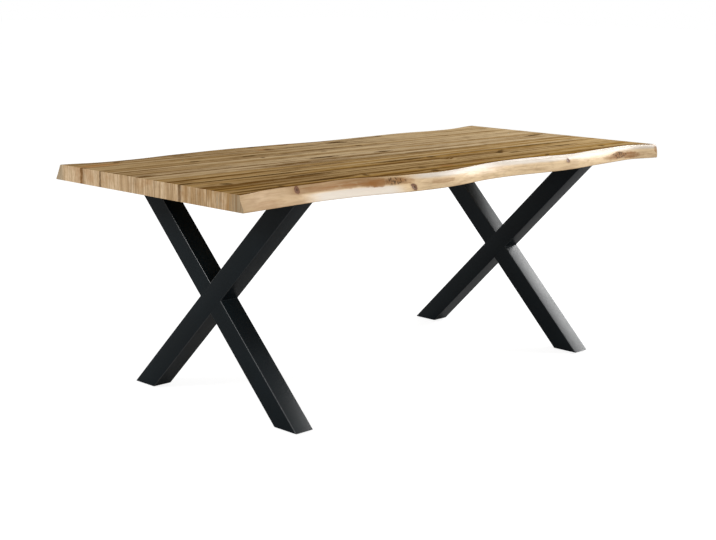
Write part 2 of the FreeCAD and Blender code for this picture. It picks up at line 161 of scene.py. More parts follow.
class StageSizes(bpy.types.PropertyGroup):
    """Light levels of the studio."""

    key_power: FloatProperty(name="Key", description="Tall softbox to the right", default=200, unit="POWER")
    rim_power: FloatProperty(name="Rim", description="Softbox behind and right", default=38, unit="POWER")
    fill_power: FloatProperty(name="Fill", description="Softbox to the left", default=90, unit="POWER")
    front_power: FloatProperty(name="Front", description="Softbox before the table", default=80, unit="POWER")
    room: FloatProperty(name="Room", description="Even light from all round", default=0.45, min=0.0)
    floor_glow: FloatProperty(name="Floor glow", description="White of the floor", default=0.87, min=0.0)


GROUPS = {
    "table_top": TopSizes, "table_frame": FrameSizes, "table_finish": Finishes, "table_stage": StageSizes,
}


# Node trees

# Nodes that Geometry Nodes borrow from the shaders
SHARED_NODES = ("Math", "CombineXYZ")


class Value:
    """A number on a node's socket: arithmetic on it adds Math nodes."""

    def __init__(self, nodes, socket):
        self.nodes = nodes
        self.socket = socket

    def math(self, operation, *others):
        return self.nodes.add("Math", {"operation": operation}, self, *others)

    def __rsub__(self, other):
        return self.nodes.add("Math", {"operation": "SUBTRACT"}, other, self)

    __add__ = __radd__ = partialmethod(math, "ADD")
    __sub__ = partialmethod(math, "SUBTRACT")
    __mul__ = __rmul__ = partialmethod(math, "MULTIPLY")
    __truediv__ = partialmethod(math, "DIVIDE")
    __abs__ = partialmethod(math, "ABSOLUTE")
    most = partialmethod(math, "MAXIMUM")

    def rise(self, low, high):
        """0 at low, 1 at high and smooth between them; low may be the larger."""
        return self.nodes.add(
            "MapRange", {"interpolation_type": "SMOOTHSTEP"}, Value=self, From_Min=low, From_Max=high,
        )


class Nodes:
    """The node tree of a material or a world."""

    prefix = "ShaderNode"

    def __init__(self, owner):
        owner.use_nodes = True
        self.tree = owner.node_tree
        self.tree.nodes.clear()

    def add(self, kind, settings=None, *inputs, output="", **named):
        """Output of a new node: its settings are set first, then its sockets in order and by name."""
        prefix = "ShaderNode" if kind in SHARED_NODES else self.prefix
        node = self.tree.nodes.new(prefix + kind)
        for name, value in (settings or {}).items():
            setattr(node, name, value)
        usable = [socket for socket in node.inputs if socket.enabled]
        for socket, value in zip(usable, inputs):
            self.feed(socket, value)
        for name, value in named.items():
            self.feed(next(socket for socket in usable if socket.name == name.replace("_", " ")), value)
        outputs = [socket for socket in node.outputs if socket.enabled and output in ("", socket.name)]
        return Value(self, outputs[0]) if outputs else None

    def feed(self, socket, value):
        if isinstance(value, Value):
            self.tree.links.new(value.socket, socket)
        elif socket.type == "RGBA":
            socket.default_value = (*value, 1.0)
        else:
            socket.default_value = value


class Finish(Nodes):
    """One procedural material, in the piece's own Object coordinates."""

    def __init__(self, name):
        self.material = bpy.data.materials.new(name)
        super().__init__(self.material)
        self.place = self.add("TexCoord", output="Object")

    def cloud(self, place, stretch, shift, detail=3.0, roughness=0.55):
        """Noise with so many lumps to the metre along each axis."""
        scaled = self.add("VectorMath", {"operation": "MULTIPLY_ADD"}, place, stretch, shift)
        return self.add("TexNoise", None, Vector=scaled, Scale=1.0, Detail=detail, Roughness=roughness)

    def layers(self, base, *coats):
        """A base colour under coats of other colours, each with the share of it that shows."""
        for share, tone in coats:
            base = self.add("Mix", {"data_type": "RGBA"}, share, base, tone)
        return base

    def mottled(self, tone, share, factor):
        """A colour with this share of a lighter or darker shade of it."""
        return self.layers(tone, (share, [factor * channel for channel in tone]))

    def surface(self, base, roughness, height, depth, **fixed):
        """Shader of a bumpy surface: what varies goes in first, and the fixed numbers after it."""
        bump = self.add("Bump", None, Strength=1.0, Distance=depth, Height=height)
        return self.add(
            "BsdfPrincipled", None, Base_Color=base, Roughness=roughness, Normal=bump, **fixed,
        )

    def end(self, shader):
        self.add("OutputMaterial", None, shader)
        return self.material


# Marks in the wood, in millimetres: along, across, half length, half width, slope, darkness

MARKS = {
    "front_live_edge": (
        (-800, -354, 200, 9, 0, 0.6), (-595, -354, 160, 10, 0, 0.9), (-438, -362, 16, 14, 0, 0.95),
        (-890, -386, 110, 8, 0, 0.8), (-795, -376, 14, 12, 0, 0.8), (-600, -397, 100, 8, 0, 0.85),
        (20, -350, 230, 9, 0, 0.5), (-180, -352, 18, 12, 0, 0.8), (330, -348, 250, 8, 0, 0.5),
        (800, -342, 16, 14, 0, 0.85), (420, -386, 18, 10, 0.6, 0.7), (-190, -420, 22, 14, 0, 0.9),
        (640, -390, 200, 7, 0, 0.6),
    ),
    "front_inner": (
        (-720, -174, 330, 9, 0, 0.85), (-640, -176, 120, 10, 0, 0.95), (-90, -178, 170, 11, 0, 0.95),
        (56, -178, 20, 14, 0, 1.0), (62, -212, 10, 32, 0, 0.25), (700, -172, 250, 9, 0, 0.9),
        (335, -243, 20, 13, 0, 1.0), (378, -216, 44, 11, 0.5, 0.75), (395, -262, 36, 10, 0, 0.7),
        (-885, -241, 20, 13, -0.3, 1.0), (-550, -245, 130, 9, 0, 0.85), (700, -241, 115, 9, 0, 0.75),
        (160, -262, 160, 16, 0, 0.4), (-200, -275, 300, 12, 0, 0.35), (-1000, -175, 70, 6, 0, 0.9),
    ),
    "front_middle": (
        (-960, -135, 50, 8, 0, 0.6), (-545, -138, 60, 9, 0, 0.6), (-500, -118, 300, 7, 0, 0.35),
        (500, -155, 420, 8, 0, 0.45), (250, -70, 50, 7, 0, 0.4), (-480, -72, 60, 8, 0, 0.4),
    ),
    "centre": (
        (-960, 34, 50, 9, 0, 0.7), (-650, 30, 330, 7, 0, 0.5), (-225, 40, 80, 11, 0, 0.95),
        (45, 31, 56, 10, 0, 0.9), (905, 40, 100, 10, 0.08, 0.85), (-735, -40, 40, 8, 0, 0.45),
        (500, -50, 16, 8, 0, 0.5), (-240, -48, 30, 7, 0, 0.45), (300, 40, 120, 7, 0, 0.4),
    ),
    "rear_middle": (
        (-392, 160, 12, 11, 0, 0.75), (-260, 190, 30, 7, 0, 0.6), (-115, 162, 20, 10, 0, 0.55),
        (-600, 130, 330, 6, 0, 0.35), (380, 100, 200, 8, 0, 0.4), (-820, 75, 160, 7, 0, 0.4),
        (500, 150, 260, 6, 0, 0.35), (720, 120, 60, 9, 0, 0.35),
    ),
    "rear_inner": (
        (-632, 214, 22, 10, 0, 0.9), (-830, 212, 180, 6, 0, 0.4), (-402, 216, 38, 11, 0, 0.8),
        (-80, 212, 130, 9, 0, 0.7), (112, 214, 16, 10, 0, 0.85), (190, 215, 30, 8, 0, 0.5),
        (605, 242, 34, 13, 0, 0.6), (-150, 250, 200, 6, 0, 0.3), (860, 240, 40, 14, -0.5, 0.4),
        (-1000, 207, 50, 4, 0, 0.85), (800, 252, 190, 11, 0, 0.45),
    ),
    "rear_live_edge": (
        (-990, 305, 16, 10, 0, 1.0), (-225, 317, 24, 11, 0, 0.95), (-80, 320, 120, 8, 0, 0.75),
        (115, 327, 70, 12, -0.1, 0.95), (205, 308, 40, 8, -0.5, 0.7), (-835, 351, 22, 8, 0, 0.9),
        (-580, 362, 34, 9, 0, 0.9), (-235, 400, 20, 10, 0, 0.8), (-95, 390, 44, 8, 0, 0.8),
        (385, 384, 26, 8, 0, 1.0), (345, 316, 44, 8, 0, 0.5), (700, 340, 200, 6, 0, 0.3),
        (170, 350, 190, 13, 0, 0.5), (310, 374, 120, 9, 0, 0.55), (-800, 372, 150, 7, 0, 0.5),
    ),
}
# A mark that is shorter than this and at least so wide is a knot, in half sizes
KNOT_LENGTH, KNOT_WIDTH = 60, 10
# Rusty stains round some marks, in the same way
STAINS = {
    "front_live_edge": ((-75, -362, 40, 16, 0, 0.5), (100, -352, 45, 14, 0, 0.5)),
    "rear_live_edge": (
        (-925, 322, 90, 24, 0, 0.55), (-235, 325, 45, 18, 0, 0.5), (-90, 392, 50, 12, 0, 0.6),
        (-995, 304, 40, 8, 0, 0.7),
    ),
}

# Knots in a live edge, in millimetres: along, down from the upper face, half length, half height
EDGE_KNOTS = {
    "front": ((-760, 11, 9, 11), (-334, 35, 9, 10), (455, 17, 9, 7)),
    "rear": ((-620, 20, 13, 11), (120, 27, 11, 8), (705, 16, 13, 10)),
}
# Rough burl patches in a live edge, in the same way
EDGE_BURLS = {
    "front": ((-388, 15, 38, 12), (800, 26, 48, 12)),
    "rear": ((-180, 22, 50, 11), (430, 30, 55, 10)),
}
# Brown and orange stains on a live edge, in the same way, each with its strength
EDGE_STAINS = {
    "front": (
        (-455, 17, 60, 12, 0.7), (-446, 18, 30, 11, 1.0), (-545, 19, 30, 8, 0.7), (-660, 15, 70, 8, 0.6),
        (-356, 15, 34, 10, 0.8), (-215, 25, 60, 9, 0.45), (745, 31, 50, 10, 0.6), (815, 28, 80, 13, 0.7),
        (866, 31, 50, 13, 0.85), (905, 33, 36, 9, 0.2), (996, 14, 12, 16, 0.8), (-900, 36, 70, 9, 0.3),
    ),
    "rear": ((-260, 24, 60, 12, 0.6), (500, 28, 80, 10, 0.6), (-760, 20, 70, 12, 0.6)),
}
# How matte and tan a live edge is where it is hollow and at its left end, and how strong its lower band of
# painted sheen is
SIDE_MATTE = {"front": 1.0, "rear": 0.6}
# How straight a live edge slopes at its left end
SIDE_STRAIGHT = {"front": 0.0, "rear": 1.0}
# Each plank's shares of pale, warm and dark oak, and of tan in its cut ends
PLANK_TONES = {
    "front_live_edge": (0.88, 1.00, 1.95, 1.30), "front_inner": (1.10, 0.90, 1.55, 1.00),
    "front_middle": (1.15, 0.65, 1.25, 0.60), "centre": (1.45, 0.20, 1.00, 0.50),
    "rear_middle": (1.30, 0.30, 0.75, 0.45), "rear_inner": (1.05, 0.40, 0.60, 0.20),
    "rear_live_edge": (1.10, 0.35, 0.75, 0.05),
}

# How much longer and wider than its mark a soft rim is
SOFT_RIM = (1.15, 1.5)
# How far the grain parts round a knot, in its half lengths and half widths, and how strongly
PARTING_LENGTH, PARTING_WIDTH, PARTING = 2.5, 2.0, 0.75
# How far the grain strays sideways, depth of the grain, and shine of the sanded faces and the live edges
STRAY = 14 * MM
GRAIN_DEPTH = 0.25 * MM
FACE_SHINE, EDGE_SHINE = 0.001, 0.28
# Where the saw cut of an end starts to show and where it is full, short of the end
CUT_STARTS, CUT_FULL = 1.2 * MM, 0.3 * MM
# Soft rim and heart of a glue line, either side of it
JOINT_RIM, JOINT_HEART = 2.4 * MM, 0.5 * MM
# Where the greyer outer corners of the ends start and where they are full, from the middle of the top
CORNER_STARTS, CORNER_FULL = 0.39, 0.42


def mark_distance(x, across, mark, longer=1.0, wider=1.0):
    """Square of the distance from the middle of a mark, 1 at a rim so much longer and wider."""
    along, middle, half_length, half_width, slope, _ = mark
    offset = x - along * MM
    reach = offset / (longer * half_length * MM)
    aside = (across - middle * MM - offset * slope) / (wider * half_width * MM)
    return reach * reach + aside * aside


def mark_mask(x, across, mark, ragged):
    """Its darkness in the heart of a mark, falling softly to 0 outside its ragged rim."""
    return (mark_distance(x, across, mark, *SOFT_RIM) + ragged).rise(1.0, 0.0) * mark[-1]


def edge_distance(x, drop, spot):
    """Square of the distance from the middle of a spot on a live edge, 1 at its rim."""
    along, down, half_length, half_height = spot
    reach = (x - along * MM) / (half_length * MM)
    aside = (drop - down * MM) / (half_height * MM)
    return reach * reach + aside * aside


def round_knots(y, x, marks):
    """Grain lines that part round the knots."""
    lines = y
    for along, middle, half_length, half_width, _, _ in marks:
        if half_width >= KNOT_WIDTH and half_length < KNOT_LENGTH:
            reach = (x - along * MM) / (PARTING_LENGTH * half_length * MM)
            aside = (y - middle * MM) / (PARTING_WIDTH * half_width * MM)
            near = (0 - (reach * reach + aside * aside)).math("EXPONENT")
            lines = lines - (y - middle * MM) * near * PARTING
    return lines


def oak(plank, number):
    """Oak of one plank: brown upper face, striped pale ends, and pale sapwood where the edge is live."""
    paint = bpy.context.scene.table_finish
    shift = (3.7 * number, 1.9 * number, 0.8 * number)
    pale_share, warm_share, dark_share, tan_share = PLANK_TONES[plank]
    wood = Finish(f"oak_{plank}")
    separate = wood.add("SeparateXYZ", None, wood.place).socket.node
    x, y, z = (Value(wood, socket) for socket in separate.outputs)
    marks = MARKS[plank]
    wander = (wood.cloud(wood.place, (1.4, 6, 4), shift, 2) - 0.5) * STRAY
    flow = wood.add("CombineXYZ", None, x, round_knots(y, x, marks) + wander, z)
    tone = wood.cloud(flow, (0.9, 14, 4), shift, 2)
    bands = wood.cloud(flow, (0.8, 30, 6), shift, 3, 0.5)
    veins = wood.cloud(flow, (1, 76, 9), shift, 3, 0.5)
    streaks = wood.cloud(flow, (0.9, 46, 8), shift, 3, 0.5)
    fibres = wood.cloud(flow, (6, 420, 60), shift, 2)
    pores = wood.cloud(flow, (26, 1100, 300), shift, 1).rise(0.62, 0.75)
    broken = wood.cloud(flow, (11, 60, 20), shift, 2).rise(0.3, 0.5) * 0.35 + 0.65
    ragged = (wood.cloud(flow, (38, 120, 40), shift, 3, 0.6) - 0.5) * 1.3
    flecks = wood.cloud(flow, (16, 60, 20), shift)
    dashes = wood.cloud(flow, (5, 52, 9), shift, 2)
    dark = reduce(Value.most, [mark_mask(x, y + wander, mark, ragged) for mark in marks]) * broken

    # Upper face, darker at its left end
    lean = x / (2 * HALF_LENGTH) + 0.5
    paler = (0.4 + lean * 0.75) * pale_share
    darker = (1.6 - lean * 1.25) * dark_share
    palest = Vector(paint.pale_oak).lerp(Vector(paint.golden_oak), 0.7 * warm_share)
    fine = 0.35 + veins.rise(0.42, 0.58) * 0.35 + fibres.rise(0.36, 0.62) * 0.35
    face = wood.layers(
        paint.brown_oak,
        ((0.25 + tone.rise(0.34, 0.60) * 0.75) * warm_share, paint.warm_oak),
        ((0.12 + bands.rise(0.57, 0.45) * 0.78) * paler, palest),
        ((0.06 + streaks.rise(0.49, 0.63) * fine) * darker, paint.dark_oak),
        (fibres.rise(0.5, 0.75) * 0.3, paint.dark_oak),
        (pores * 0.35, paint.streak),
        (flecks.rise(0.52, 0.70) * 0.3, paint.dark_oak),
        (flecks.rise(0.48, 0.32) * paler * 0.3, palest),
        (dashes.rise(0.64, 0.71) * 0.6, paint.streak),
    )

    # Cut ends, greyer at the outer corners
    stripes = wood.cloud(flow, (2, 190, 7), shift, 2)
    patches = wood.cloud(wood.place, (1, 15, 26), shift, 2)
    slits = wood.cloud(flow, (1, 120, 3), shift, 1)
    corner = abs(y).rise(CORNER_STARTS, CORNER_FULL)
    end = wood.layers(
        paint.end_pale,
        (bands.rise(0.36, 0.62) * tan_share * 0.75, paint.end_tan),
        (veins.rise(0.42, 0.64) * (0.2 + tan_share * 0.45), paint.end_tan),
        (stripes.rise(0.48, 0.62) * 0.5, paint.end_brown),
        (veins.rise(0.42, 0.28) * (0.2 + tan_share * 0.4), paint.end_grey),
        (fibres.rise(0.46, 0.68) * 0.35, paint.end_brown),
        (patches.rise(0.52, 0.70) * 0.3, paint.burl),
        (corner * (0.3 + stripes * 0.5), paint.end_grey),
        (corner * slits.rise(0.47, 0.56) * 0.6, paint.end_brown),
    )

    # Both together, with stains, marks and glue lines
    cut = abs(x).rise(HALF_LENGTH - CUT_STARTS, HALF_LENGTH - CUT_FULL)
    joints = [abs(y - side.y).rise(JOINT_RIM, JOINT_HEART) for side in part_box(f"{plank}_plank")]
    base = wood.layers(
        face, (cut, end),
        *[(mark_mask(x, y, stain, ragged), paint.burl) for stain in STAINS.get(plank, ())],
        (dark * (1 - cut * 0.3) * 0.55, paint.dark_oak),
        (dark.rise(0.25, 0.9) * (1 - cut * 0.5) * (0.6 + fibres * 0.7), paint.streak),
        *[(joint * (0.6 - cut * 0.25), paint.streak) for joint in joints],
    )
    rough = 0.84 + fibres * 0.12 + dark * 0.04
    relief = fibres * 0.5 + veins * 0.4 - dark * 0.8 - pores * 0.6
    if not plank.endswith("live_edge"):
        return wood.end(wood.surface(base, rough, relief, GRAIN_DEPTH, Specular_IOR_Level=FACE_SHINE))
    brim = wood.add("Attribute", {"attribute_name": "brim"}, output="Fac")
    patchy = wood.cloud(wood.place, (5, 30, 30), shift).rise(0.4, 0.62)
    base = wood.layers(base, (brim * patchy * (1 - cut) * 0.8, paint.dark_oak))
    heart = wood.surface(base, rough, relief, GRAIN_DEPTH, Specular_IOR_Level=FACE_SHINE)
    on_edge = wood.add("Attribute", {"attribute_name": "sap"}, output="Fac")
    edge = sapwood(wood, plank.split("_")[0], shift, x, TOP_Z - z)
    return wood.end(wood.add("MixShader", None, on_edge * (1 - cut), heart, edge))


def sapwood(wood, side, shift, x, drop):
    """Shader of a live edge: pale satin sapwood with paler shoulders that are partly a painted sheen, knots,
    stains and burls.
    """
    paint = bpy.context.scene.table_finish
    soft = wood.cloud(wood.place, (7, 20, 40), shift)
    silk = wood.cloud(wood.place, (9, 120, 320), shift, 2)
    mottle = wood.cloud(wood.place, (28, 60, 130), shift)
    grain = wood.cloud(wood.place, (6, 40, 170), shift)
    frayed = wood.cloud(wood.place, (75, 75, 75), shift)
    crumbs = wood.cloud(wood.place, (180, 160, 110), shift).rise(0.45, 0.58)

    # The hollow left of the middle and the left end are matte and tan, and the shoulders are paler, partly
    # pale sapwood and partly a painted sheen
    hollow = x.rise(-0.33, -0.47) * x.rise(-0.92, -0.72) * drop.rise(30 * MM, 20 * MM)
    matte = hollow.most(x.rise(-0.68, -0.80) * 0.6) * SIDE_MATTE[side]
    # Partly pale sapwood and partly a painted highlight: the lower part left of the middle is painted whiter
    lower_band_and_sheen = x.rise(-0.76, -0.66) * x.rise(-0.35, -0.42) * drop.rise(24 * MM, 31 * MM) * SIDE_MATTE[side]
    # Partly pale sapwood and partly a painted highlight: the upper shoulder right of the hollow is painted
    # paler and greyer
    above = x.rise(-0.37, -0.27) * (drop + soft * 8 * MM).rise(22 * MM, 12 * MM)
    stains = []
    for *spot, strength in EDGE_STAINS[side]:
        stain = (edge_distance(x, drop, spot) + soft * 1.2 + frayed * 1.6 - 1.4).rise(1.4, 0.4)
        stains.append((stain * (0.6 + grain.rise(0.42, 0.60) * 0.4) * strength, paint.burl))
    rot = reduce(Value.most, [
        (edge_distance(x, drop, spot) + mottle * 1.6 - 0.8).rise(1.3, 0.3) for spot in EDGE_BURLS[side]
    ])
    knots = []
    for spot in EDGE_KNOTS[side]:
        ring = edge_distance(x, drop, spot).math("SQRT") + (mottle - 0.5) * 0.7 + (frayed - 0.5) * 1.1
        knots += [
            (ring.rise(2.2, 0.9) * 0.3, paint.burl),
            (ring.rise(1.25, 0.8) * 0.85, paint.red_knot),
            (abs(ring - 0.85).rise(0.25, 0.05) * 0.4, paint.streak),
            (ring.rise(0.6, 0.2) * 0.8, paint.streak),
        ]
    edge = wood.layers(
        paint.sapwood,
        (soft.rise(0.48, 0.68) * 0.3, paint.tan_sapwood),
        (mottle.rise(0.46, 0.70) * 0.28, paint.tan_sapwood),
        (grain.rise(0.52, 0.66) * 0.25, paint.burl),
        (silk.rise(0.5, 0.75) * 0.2, paint.tan_sapwood),
        (matte * (0.6 + soft * 0.5), paint.tan_sapwood),
        (hollow * grain.rise(0.5, 0.64) * SIDE_MATTE[side] * 0.5, paint.burl),
        (lower_band_and_sheen * 0.92, paint.pale_sapwood_and_sheen),
        (above * 0.85, paint.shoulder_sapwood_and_sheen),
        # Painted shade: a thin dark line along the lower arris, where the underside's shadow falls
        (drop.rise(44 * MM, 47 * MM) * 0.4, paint.tan_sapwood),
        *stains,
        (rot * 0.65, paint.burl),
        (rot * crumbs * 0.8, paint.streak),
        *knots,
    )
    rough = 0.38 + silk * 0.14 + rot.most(matte) * 0.3
    return wood.surface(edge, rough, silk * 0.4 - rot * crumbs, GRAIN_DEPTH, Specular_IOR_Level=EDGE_SHINE)


def powder_coat():
    paint = bpy.context.scene.table_finish
    coat = Finish("satin_powder_coat")
    peel = coat.cloud(coat.place, (900, 900, 900), (0, 0, 0), 2)
    drift = coat.cloud(coat.place, (7, 7, 7), (4, 1, 2))
    base = coat.mottled(paint.powder_coat, drift.rise(0.35, 0.7), 1.35)
    rough = 0.31 + drift * 0.08 + peel * 0.06
    corner = coat.add("Attribute", {"attribute_name": "corner"}, output="Fac")
    return coat.end(coat.surface(
        base, rough, peel, 0.015 * MM, Specular_IOR_Level=0.2, Coat_Weight=corner, Coat_Roughness=0.36,
    ))


def zinc_plate():
    paint = bpy.context.scene.table_finish
    plate = Finish("zinc_plate")
    cloud = plate.cloud(plate.place, (260, 260, 260), (1, 5, 2), 4)
    fine = plate.cloud(plate.place, (2600, 2600, 900), (3, 0, 1), 2)
    base = plate.mottled(paint.zinc, cloud.rise(0.3, 0.75) * 0.5, 0.55)
    rough = 0.28 + cloud * 0.2 + fine * 0.08
    return plate.end(plate.surface(base, rough, fine, 0.02 * MM, Metallic=1.0))


def moulded_plastic():
    paint = bpy.context.scene.table_finish
    plastic = Finish("moulded_glide_plastic")
    grain = plastic.cloud(plastic.place, (1500, 1500, 1500), (2, 2, 0), 2)
    scuff = plastic.cloud(plastic.place, (120, 420, 120), (0, 7, 1), 4).rise(0.55, 0.75)
    base = plastic.mottled(paint.plastic, scuff * 0.4, 3.0)
    return plastic.end(plastic.surface(base, 0.5 + scuff * 0.25, grain, 0.03 * MM, Specular_IOR_Level=0.4))


def raw_beech():
    paint = bpy.context.scene.table_finish
    beech = Finish("raw_beech")
    flecks = beech.cloud(beech.place, (60, 500, 260), (6, 0, 3))
    base = beech.mottled(paint.beech, flecks.rise(0.45, 0.7), 0.6)
    return beech.end(beech.surface(base, 0.7 + flecks * 0.15, flecks, 0.1 * MM, Specular_IOR_Level=0.2))


# Meshes

def smooth(mesh, crease=None):
    """Shades a mesh smooth, but for creases sharper than so many degrees."""
    for face in mesh.polygons:
        face.use_smooth = True
    if crease:
        mesh.set_sharp_from_angle(angle=math.radians(crease))
    return mesh


def piece(mesh, body, slot, material, *nodes):
    """Puts a finished mesh in the scene, on its body, in place of its CAD nodes."""
    smooth(mesh)
    mesh.materials.clear()
    mesh.materials.append(material)
    item = linked(mesh.name, mesh)
    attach(item, body)
    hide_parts(*nodes)


def dress(material, *nodes):
    """Gives CAD nodes whose shape is right a finished material."""
    for name in nodes:
        node = frame["nodes"][name]
        if not node.material_slots:
            node.data.materials.append(material)
        for slot in node.material_slots:
            slot.material = material


def outward(mesh):
    """Turns all faces of a closed mesh outward."""
    work = bmesh.new()
    work.from_mesh(mesh)
    bmesh.ops.recalc_face_normals(work, faces=work.faces)
    work.to_mesh(mesh)
    work.free()
    return mesh


def ring_faces(rings, around, closed=False):
    """Faces between rings of points, and from the last ring to the first if closed."""
    faces = []
    for row in range(rings if closed else rings - 1):
        near, far = row * around, (row + 1) % rings * around
        for point in range(around):
            beside = (point + 1) % around
            faces.append((near + point, near + beside, far + beside, far + point))
    return faces


def loft(name, sections):
    """Closed mesh through cross-sections with the same number of points, with flat ends."""
    count, around = sections.shape[:2]
    last = (count - 1) * around
    faces = ring_faces(count, around) + [tuple(range(around)), tuple(range(last, last + around))]
    mesh = bpy.data.meshes.new(name)
    mesh.from_pydata(sections.reshape(-1, 3).tolist(), [], faces)
    return outward(mesh)


def linked(name, data):
    """New object with this data, linked to the scene."""
    item = bpy.data.objects.new(name, data)
    bpy.context.scene.collection.objects.link(item)
    return item


# Segments of an eased arris, and the least bend that is eased, in degrees
EASE_SEGMENTS, EASE_BEND = 2, 50


def eased(mesh, width):
    """Mesh with its sharp arrises bevelled."""
    holder = linked("holder", mesh)
    bevel = holder.modifiers.new("ease", "BEVEL")
    bevel.width = width
    bevel.segments = EASE_SEGMENTS
    bevel.limit_method = "ANGLE"
    bevel.angle_limit = math.radians(EASE_BEND)
    bevel.harden_normals = True
    made = plain_mesh(holder, mesh.name)
    bpy.data.meshes.remove(mesh)
    return made


def plain_mesh(holder, name):
    """Plain mesh of a holder with its modifiers, which is then removed."""
    smooth(holder.data)
    shown = holder.evaluated_get(bpy.context.evaluated_depsgraph_get())
    made = bpy.data.meshes.new_from_object(shown)
    bpy.data.objects.remove(holder)
    made.name = name
    return made


# How steeply the dip at a mark falls away
DIP_FALL = 1.5


def sunk(x, y, marks, depth):
    """How far the upper face dips at its knots and streaks, in metres."""
    dip = np.zeros(np.broadcast(x, y).shape)
    for mark in marks:
        dip = np.maximum(dip, mark[-1] * np.exp(-DIP_FALL * mark_distance(x, y, mark)))
    return depth * dip


def stations(step):
    return np.linspace(-HALF_LENGTH, HALF_LENGTH, int(round(2 * HALF_LENGTH / step)) + 1)


# Heights of the points between the two faces on a glued side
GLUE_Z = np.linspace(UNDERSIDE_Z, TOP_Z, 5)[1:-1]


def inner_plank(plank):
    """Flat plank between two glue lines."""
    sizes = bpy.context.scene.table_top
    low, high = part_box(f"{plank}_plank")
    across = np.linspace(low.y, high.y, int((high.y - low.y) / sizes.step) + 1)
    back = across[::-2] if len(across) % 2 else np.append(across[:0:-2], across[0])
    y = np.concatenate([across, np.full_like(GLUE_Z, high.y), back, np.full_like(GLUE_Z, low.y)])
    z = np.concatenate([
        np.full_like(across, TOP_Z), GLUE_Z[::-1], np.full_like(back, UNDERSIDE_Z), GLUE_Z,
    ])
    x = stations(sizes.step)
    sections = np.empty((len(x), len(y), 3))
    sections[..., 0] = x[:, None]
    sections[..., 1] = y[None, :]
    sections[..., 2] = z[None, :]
    upper = slice(1, len(across) - 1)
    dip = sunk(x[:, None], across[None, upper], MARKS[plank], sizes.knot_hollow)
    sections[1:-1, upper, 2] -= dip[1:-1]
    return eased(loft(f"{plank}_plank_oak", sections), sizes.ease)


# How far inside the ends the live edge is traced, and how often its course is smoothed
END_MARGIN, SMOOTHINGS = 0.5 * MM, 10


def traced_edge(plank, side, x, heights):
    """Y of the CAD plank's live edge at each place along it and each height, smoothed along it."""
    mesh = frame["nodes"][f"{plank}_plank"].data
    tree = BVHTree.FromPolygons([v.co for v in mesh.vertices], [tuple(f.vertices) for f in mesh.polygons])
    inside = HALF_LENGTH - END_MARGIN
    found = np.empty((len(x), len(heights)))
    for row, along in enumerate(np.clip(x, -inside, inside)):
        for column, height in enumerate(heights):
            start = Vector((along, side, height))
            hit = tree.ray_cast(start, Vector((0.0, -side, 0.0)))[0]
            if hit is None:
                raise RuntimeError(f"{plank} has no live edge at {along:.3f}, {height:.3f}")
            found[row, column] = hit.y
    for _ in range(SMOOTHINGS):
        found[1:-1] = (found[:-2] + 2 * found[1:-1] + found[2:]) / 4
    return found


# Length and height of a ripple on a live edge, and of a crumb in a burl, and the plane of the noise
RIPPLE = (85 * MM, 13 * MM, 3.0)
CRUMB = (11 * MM, 8 * MM, 9.0)
# How much finer than the ripples the wrinkles on them are, and how high beside them
WRINKLE_FINER, WRINKLE_HEIGHT = 3.3, 0.45
# Fractal of the crumbs: dimension, lacunarity, octaves, offset and gain
CRUMB_FRACTAL = (0.9, 2.1, 3, 1.0, 2.0)
# Swelling round a knot of a live edge and the hollow in its heart, how steeply both fall away, and the
# height and hollow of a burl's crumbs
KNOT_SWELL, KNOT_PIT = 1.3 * MM, 2.2 * MM
SWELL_FALL, PIT_FALL = 0.8, 3.0
CRUMB_RISE, CRUMB_PIT = 0.7 * MM, 1.1 * MM
# Squares of the distances past which a knot and a burl no longer show
KNOT_REACH, BURL_REACH = 12, 4


def edge_relief(x, drop, side, ripple):
    """How far the live edge stands out at a place, in metres."""
    here = Vector((x / RIPPLE[0], drop / RIPPLE[1], RIPPLE[2]))
    out = ripple * (noise.noise(here) + WRINKLE_HEIGHT * noise.noise(here * WRINKLE_FINER))
    for spot in EDGE_KNOTS[side]:
        far = edge_distance(x, drop, spot)
        if far < KNOT_REACH:
            out += KNOT_SWELL * math.exp(-SWELL_FALL * far) - KNOT_PIT * math.exp(-PIT_FALL * far)
    for spot in EDGE_BURLS[side]:
        far = edge_distance(x, drop, spot)
        if far < BURL_REACH:
            here = Vector((x / CRUMB[0], drop / CRUMB[1], CRUMB[2]))
            crumb = noise.ridged_multi_fractal(here, *CRUMB_FRACTAL)
            out += math.exp(-far) * (CRUMB_RISE * crumb - CRUMB_PIT)
    return out


# Points across a live edge plank: on the upper face, down the edge and on the lower face
UPPER_POINTS, EDGE_POINTS, LOWER_POINTS = 33, 29, 21
# The same after the arrises are rounded, without those of the bends
UPPER_FLAT, EDGE_FLAT, LOWER_FLAT = 27, 28, 17
# Points of a bend either side of an arris, and how far the rounding averages and reaches, in arris widths
BEND = np.array([-4.0, -2.2, -1.4, -0.8, -0.3, 0.3, 0.8, 1.4, 2.2, 4.0])
BEND_SPREAD, BEND_REACH = np.linspace(-1.2, 1.2, 7), 3.9
# Margin beside the lower arris where the edge's relief dies away, and how much wider the upper one's is
CALM, CALM_WIDER = 4 * MM, 3
# How far outside the arrises the sapwood starts and the run in which it is full, in arris widths
SAP_STARTS, SAP_RUN = 0.6, 0.9
# How far inside the arrises the edge is traced, as a share of the thickness
EDGE_INSET = 0.004
# Where a straight slope starts, left of the middle, and the run in which it is reached
STRAIGHT_STARTS, STRAIGHT_RUN = 0.80, 0.15


